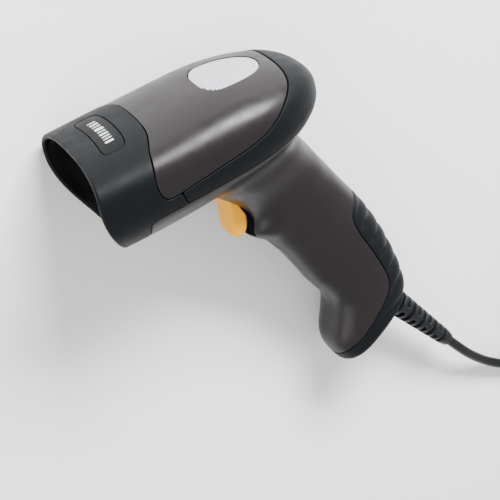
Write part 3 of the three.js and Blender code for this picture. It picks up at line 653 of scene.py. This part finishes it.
BY_SLOT = {"rubber": RUBBER, "housing": HOUSING, "badge": BADGE, "light_window": LIGHT, "black_plastic": BLACK,
           "scan_glass": SCAN_GLASS, "circuit_board": GREEN, "lamp": CLEAR, "trigger": AMBER, "steel": STEEL,
           "ivory": IVORY, "plug_clear": CLEAR, "cable": CABLE}
slot_of = {row["node"]: row["material_slot"] for row in frame["record"]["subparts"]}
for node_name, node in frame["nodes"].items():
    node.data.materials.clear()
    node.data.materials.append(TIE if node_name == "coil_tie" else BY_SLOT[slot_of[node_name]])

# ---------------------------------------------------------------- cable
CORD = 4.8
BOOT_TIP = (-76.2, 91.4, 11.9)
COIL_CENTRE = np.array((-158.0, 100.0))
COIL_RADII = (33.6, 28.8, 24.0)
COIL_LAYERS = (3.7, 8.5, 13.3)
COIL_STEPS, COIL_CHANGE = 24, 5   # points in a turn, and those in which it goes over into the next
LEAD_OUT_STEPS, LEAD_OUT_RISE, LEAD_OUT_TOP = 7, 4.9, 18.3
RUN = [BOOT_TIP, (-80.6, 98, 11.1), (-85.2, 104.6, 9.5), (-90.5, 111.2, 7.3), (-96.8, 117.8, 5.1),
       (-104.4, 124, 3.9), (-113, 128.8, 3.7), (-123, 132, 3.7), (-134, 133.5, 3.7), (-146, 133.7, 3.7)]
TAIL = [(-182, 78, 18.8), (-182, 72, 18.2), (-182, 66, 15.8), (-182, 60, 12), (-182, 54, 8.2), (-182, 48, 5.6),
        (-182, 42.6, 4.5), (-182, 39.8, 4.4)]


def coil_point(radius, height, step):
    angle = math.pi / 2 + 2 * math.pi * step / COIL_STEPS
    return COIL_CENTRE[0] + radius * math.cos(angle), COIL_CENTRE[1] + radius * math.sin(angle), height


def cable_points():
    """From the boot to the coil, inwards, outwards and inwards again in its three layers, and over it to the plug."""
    points = list(RUN)
    turns = [(radius, height) for radii, height in zip((COIL_RADII, COIL_RADII[::-1], COIL_RADII), COIL_LAYERS)
             for radius in radii]
    for (radius, height), (next_radius, next_height) in zip(turns, turns[1:] + turns[-1:]):
        for i in range(COIL_STEPS):
            q = ease((i - COIL_STEPS + COIL_CHANGE) / COIL_CHANGE)
            points.append(coil_point(radius + (next_radius - radius) * q, height + (next_height - height) * q, i))
    for i in range(LEAD_OUT_STEPS):
        z = COIL_LAYERS[2] + LEAD_OUT_RISE * (max(0, i - 2) / 4) ** 1.5
        points.append(coil_point(COIL_RADII[2], min(z, LEAD_OUT_TOP), i))
    return points + TAIL


def make_cable():
    data = bpy.data.curves.new("cable", "CURVE")
    data.dimensions = "3D"
    data.bevel_depth = CORD / 2 * MM
    data.bevel_resolution = 5
    data.resolution_u = 3
    data.use_fill_caps = True
    spline = data.splines.new("NURBS")
    points = cable_points()
    spline.points.add(len(points) - 1)
    for point, co in zip(spline.points, points):
        point.co = (co[0] * MM, co[1] * MM, co[2] * MM, 1)
    spline.order_u = 3
    spline.use_endpoint_u = True
    obj = bpy.data.objects.new("cable", data)
    bpy.context.scene.collection.objects.link(obj)
    return dress(obj, CABLE, "housing", "cable", "cable_run", "cable_coil", "cable_tail")


cable = make_cable()

# ---------------------------------------------------------------- shells
head_p, head_n = head_grid()
grip_p, grip_n = grip_grid()
# edges: margin, radius, depth of the wall that goes in
SEAM = (GAP / 2, 0.42, 1.6)
RIM_EDGE = (0.0, 1.25, 1.6)
POCKET_EDGE = (0.0, 0.6, 7.0)

piece("nose_bumper_skin", trimmed(head_p, head_n, [side_view(NOSE_ZONE), side_view(BEHIND_RIM),
                                                   plan_view(BADGE_OUTLINE, -1)],
                                  [SEAM, RIM_EDGE, (0.15, 0.4, 1.2)], lip=(1,)),
      RUBBER, "housing", "rubber", "nose_bumper")
piece("name_badge_plate", trimmed(head_p, head_n, [plan_view(BADGE_OUTLINE)], [(0.12, 0.35, 1.0)], inset=0.12),
      BADGE, "housing", "badge", "name_badge")
piece("top_cover_skin", trimmed(head_p, head_n, [side_view(COVER_ZONE), plan_view(LIGHT_OUTLINE, -1)],
                                [SEAM, (0.2, 0.5, 1.6)], inset=0.3),
      HOUSING, "housing", "housing", "top_cover")
piece("light_window_lens", trimmed(head_p, head_n, [plan_view(LIGHT_OUTLINE)], [(0.1, 0.5, 1.2)], inset=0.45),
      LIGHT, "housing", "light_window", "light_window")
piece("rear_band_skin", trimmed(head_p, head_n, [side_view(BAND_ZONE)], [SEAM]),
      RUBBER, "housing", "rubber", "rear_band")
low_head = trimmed(head_p, head_n,
                   [side_view(LOW_ZONE), outside_pocket, outside_discs(COVER_SCREWS, SCREW_HOLE_RADIUS)],
                   [SEAM, POCKET_EDGE, (0.0, 0.3, 2.6)], inset=0.05)
low_grip = trimmed(grip_p, grip_n, [side_view(LOW_ZONE), side_view(PAD_ZONE, -1), outside_pocket],
                   [SEAM, SEAM, POCKET_EDGE])
piece("lower_housing_skin", joined(low_head, low_grip), HOUSING, "housing", "housing", "lower_housing")
piece("grip_pad_skin", trimmed(grip_p, grip_n, [side_view(PAD_ZONE)], [SEAM]),
      RUBBER, "housing", "rubber", "grip_pad")

# ---------------------------------------------------------------- mark on the plate
# A plain row of printed bars, thick and thin, standing just proud of the plate.
BAR_WIDTHS = (1.6, 0.8, 0.8, 1.6, 0.8, 2.4, 0.8, 1.6, 0.8)
BAR_GAP = 1.3
BAR_REACH = 2.0
BAR_PROUD = 0.05
BAR_SKIRT = 0.2


def roof(x, y):
    return head_top(x) * (1 - np.abs(y / head_width(x)) ** ROUND) ** (1 / ROUND)


def plate_bar(y0, y1, across=5, along=7):
    """One bar that follows the plate, with a skirt that sinks into it."""
    y, v = np.meshgrid(np.linspace(y0, y1, across), np.linspace(-1, 1, along), indexing="ij")
    x = BADGE_MIDDLE + v * BAR_REACH - BADGE_BOW * (y / BADGE_HALF) ** 2
    z = roof(x, y) + BAR_PROUD
    edge = (np.arange(across)[:, None] % (across - 1) == 0) | (np.arange(along)[None, :] % (along - 1) == 0)
    z = np.where(edge, z - BAR_SKIRT, z)
    faces = [(i * along + j, (i + 1) * along + j, (i + 1) * along + j + 1, i * along + j + 1)
             for i in range(across - 1) for j in range(along - 1)]
    return np.stack((x, y, z), -1).reshape(-1, 3), [f[::-1] for f in faces]


def plate_mark():
    verts, faces, y = [], [], -(sum(BAR_WIDTHS) + BAR_GAP * (len(BAR_WIDTHS) - 1)) / 2
    for width in BAR_WIDTHS:
        bar, quads = plate_bar(y, y + width)
        faces += [tuple(k + sum(len(v) for v in verts) for k in quad) for quad in quads]
        verts.append(bar)
        y += width + BAR_GAP
    return np.vstack(verts), faces


mark_points, mark_faces = plate_mark()
dress(mesh_object("name_badge_mark", to_row(mark_points), mark_faces), MARK, "housing", "badge")

# ---------------------------------------------------------------- trigger
TRIGGER_SIDE = [(-11, -22.5), (-10, -36), (-10.5, -49), (-10.5, -55), (-7, -57), (-3, -54), (-1, -46), (-2.5, -34),
                (-4.5, -22), (-7, -18), (-10, -18.5)]
TRIGGER_INSET, TRIGGER_DEPTH = 2.4, 5.0   # how far the rounding reaches into each face, and down the edge


def rounded_plate(outline, y0, y1, inset, depth):
    """A plate with a side-view outline, its two faces rounded over into its edge by a quarter ellipse."""
    n = len(outline)
    steps = 10
    ahead, behind = np.roll(outline, -1, 0), np.roll(outline, 1, 0)
    run = ahead - behind
    side = np.stack((-run[:, 1], run[:, 0]), 1) / np.linalg.norm(run, axis=1, keepdims=True)
    area = (outline[:, 0] * ahead[:, 1] - ahead[:, 0] * outline[:, 1]).sum()
    inward = side * np.sign(area)
    verts, norms, faces = [], [], []
    rows = [(k / steps * math.pi / 2, -1) for k in range(steps + 1)]
    rows += [((steps - k) / steps * math.pi / 2, 1) for k in range(steps + 1)]
    for phi, end in rows:
        flat = outline + inward * inset * (1 - math.sin(phi))
        y = (y0 + depth * (1 - math.cos(phi))) if end < 0 else (y1 - depth * (1 - math.cos(phi)))
        verts += [(p[0], y, p[1]) for p in flat]
        norms += [(-d[0] * math.sin(phi) / inset, end * math.cos(phi) / depth, -d[1] * math.sin(phi) / inset)
                  for d in inward]
    count = len(rows)
    for i in range(count - 1):
        for j in range(n):
            a, b = i * n + j, i * n + (j + 1) % n
            faces.append((a, b, b + n, a + n) if area < 0 else (b, a, a + n, b + n))
    first, last = tuple(range(n)), tuple(range((count - 1) * n, count * n))
    faces += [first[::-1], last] if area < 0 else [first, last[::-1]]
    return np.array(verts), faces, np.array(norms)


piece("trigger_blade", rounded_plate(smooth(TRIGGER_SIDE, 160, closed=True), -TRIGGER_WIDTH / 2,
                                     TRIGGER_WIDTH / 2, TRIGGER_INSET, TRIGGER_DEPTH),
      AMBER, "trigger", "trigger", "trigger")

# the liner of the trigger's pocket, seen as a dark slot behind the trigger
POCKET_BACK = [(-1.5, -58), (0.5, -58), (2.5, -48), (0.5, -36), (-2, -24)]
CHEEK = POCKET_BACK + [(-2, -20), (-10, -20), (-9, -30), (-6, -38), (-3, -46), (-3, -55)]
CHEEK_OUT = 0.02


def pocket_liner():
    line = smooth(POCKET_BACK, 60)
    count = len(line)
    wall = [(x, y, z) for y in (-POCKET_HALF, POCKET_HALF) for x, z in line]
    faces = [(k, k + 1, count + k + 1, count + k) for k in range(count - 1)]
    dress(mesh_object("trigger_pocket", to_row(wall), faces), BLACK, "housing", "black_plastic")
    count = len(CHEEK)
    cheeks = [(x, side * (POCKET_HALF + CHEEK_OUT), z) for side in (-1, 1) for x, z in CHEEK]
    faces = [tuple(range(count)), tuple(range(count, 2 * count))]
    dress(mesh_object("trigger_pocket_sides", to_row(cheeks), faces), BLACK, "housing", "black_plastic")


pocket_liner()

# ---------------------------------------------------------------- strain relief
BOOT_BASE = np.array((56, 0, -122.5))
BOOT_LEAN = math.radians(33.5)
BOOT_AXIS = np.array((math.sin(BOOT_LEAN), 0, -math.cos(BOOT_LEAN)))
BOOT_LENGTH = 53.0
BOOT_SUNK = 3   # length of the boot inside the butt
BOOT_RADII = (6.6, 6.6, 4.0, 3.4)
SLOT_PITCH, SLOT_FIRST, SLOT_LAST = 4.6, 8.0, BOOT_LENGTH - 6
SLOT_FROM, SLOT_TO, SLOT_EASE = 0.5, 3.0, 0.35
SLOT_DEPTH = 0.44   # of the boot's radius
WEB_HALF, WEB_EASE = 0.26, 0.14   # the uncut web between two slots, as a cosine


def boot(rows=230, count=72):
    """A tapered sleeve with rows of slots that alternate side to side so that it bends evenly."""
    length = np.linspace(-BOOT_SUNK, BOOT_LENGTH, rows)
    angle = circle(count)
    radius = np.interp(length, (-BOOT_SUNK, 4, BOOT_LENGTH - 3.5, BOOT_LENGTH), BOOT_RADII)
    step = np.floor((length - SLOT_FIRST) / SLOT_PITCH)
    within = (length - SLOT_FIRST) - step * SLOT_PITCH
    slot_wide = ease((within - SLOT_FROM) / SLOT_EASE) * ease((SLOT_TO - within) / SLOT_EASE)
    slot_wide *= (length > SLOT_FIRST) & (length < SLOT_LAST)
    turn = np.where(step % 2 == 0, 0.0, math.pi / 2)
    around = np.abs(np.cos(angle[None, :] - turn[:, None]))
    cut = ease((around - WEB_HALF) / WEB_EASE)
    r = radius[:, None] - (radius * SLOT_DEPTH)[:, None] * slot_wide[:, None] * cut
    u = np.array((0.0, 1.0, 0.0))
    v = np.cross(BOOT_AXIS, u)
    points = (BOOT_BASE + length[:, None, None] * BOOT_AXIS
              + r[..., None] * (np.cos(angle)[None, :, None] * u + np.sin(angle)[None, :, None] * v))
    tip = points[-1:].copy()
    centre = BOOT_BASE + BOOT_AXIS * BOOT_LENGTH
    points = np.concatenate((points, centre + (tip - centre) * 0.75), 0)
    faces = [(i * count + j, i * count + (j + 1) % count, (i + 1) * count + (j + 1) % count, (i + 1) * count + j)
             for i in range(len(points) - 1) for j in range(count)]
    norms = normals_of(points)
    # outwards
    if (norms[5, 0] * (points[5, 0] - points[5].mean(0))).sum() < 0:
        norms = -norms
    return points.reshape(-1, 3), faces, norms.reshape(-1, 3)


piece("cable_boot_sleeve", boot(), CABLE, "housing", "cable", "cable_boot")

# ---------------------------------------------------------------- mouth
# each ring: its half width, top and bottom
TUNNEL_START, TUNNEL_LENGTH = -66, 23.6
TUNNEL_MOUTH, TUNNEL_NARROWS = (30.4, 10.4, -29), (-6.4, -2.9, 12)
TUNNEL_LIP_START, TUNNEL_LIP = -71, (31.0, 10.8, -29.9)
TUNNEL_BEHIND_RIM = 1.6


def ring(x, width, top, bottom, count=96):
    angle = circle(count)
    return np.stack((np.full(count, x), width * power(np.cos(angle), 2 / 3),
                     (top + bottom) / 2 + (top - bottom) / 2 * power(np.sin(angle), 2 / 3)), 1)


def tunnel():
    rings = [ring(TUNNEL_LIP_START, *TUNNEL_LIP)]
    for q in np.linspace(0, 1, 14):
        sizes = [size + change * ease(q) for size, change in zip(TUNNEL_MOUTH, TUNNEL_NARROWS)]
        rings.append(ring(TUNNEL_START + TUNNEL_LENGTH * q, *sizes))
    points = np.array(rings)
    rim = np.interp(points[..., 2], RIM[:, 1], RIM[:, 0]) + TUNNEL_BEHIND_RIM
    points[..., 0] = np.maximum(points[..., 0], rim)
    count = points.shape[1]
    faces = [(i * count + j, (i + 1) * count + j, (i + 1) * count + (j + 1) % count, i * count + (j + 1) % count)
             for i in range(len(points) - 1) for j in range(count)]
    norms = normals_of(points)
    # inwards
    if (norms[8, 0] * (points[8, 0] - points[8].mean(0))).sum() > 0:
        norms = -norms
    norms[:2] = norms[3]
    return points.reshape(-1, 3), faces, norms.reshape(-1, 3)


piece("nose_tunnel_lining", tunnel(), BLACK, "housing", "black_plastic", "nose_tunnel")

# ---------------------------------------------------------------- floor and light
FLOOR_RADIUS, FLOOR_DROP = 4.0, 0.0002
FLOOR_PAINT = (0.93, 0.93, 0.93, 1)
WORLD_STRENGTH = 0.95
LIGHT_AIM = (0, 0, 0.03)


def area_light(name, place, size, energy):
    data = bpy.data.lights.new(name, "AREA")
    data.shape = "RECTANGLE"
    data.size, data.size_y = size
    data.energy = energy
    obj = bpy.data.objects.new(name, data)
    obj.location = place
    obj.rotation_mode = "QUATERNION"
    obj.rotation_quaternion = (Vector(LIGHT_AIM) - Vector(place)).to_track_quat("-Z", "Y")
    bpy.context.scene.collection.objects.link(obj)


def make_floor():
    mesh = bmesh.new()
    bmesh.ops.create_circle(mesh, cap_ends=True, segments=96, radius=FLOOR_RADIUS)
    data = bpy.data.meshes.new("floor")
    mesh.to_mesh(data)
    mesh.free()
    floor = bpy.data.objects.new("floor", data)
    floor.location.z = -FLOOR_DROP
    bpy.context.scene.collection.objects.link(floor)
    data.materials.append(material("floor_paint", FLOOR_PAINT, 0.7, grain=300, bump=0.01, tone=0.01))


make_floor()
world = bpy.data.worlds.new("studio")
bpy.context.scene.world = world
world.use_nodes = True
world.node_tree.nodes["Background"].inputs["Color"].default_value = (1, 1, 1, 1)
world.node_tree.nodes["Background"].inputs["Strength"].default_value = WORLD_STRENGTH
area_light("key", (-0.5, -1.0, 0.75), (0.7, 0.4), 62)
area_light("fill", (0.9, 0.3, 0.7), (0.8, 0.8), 6)
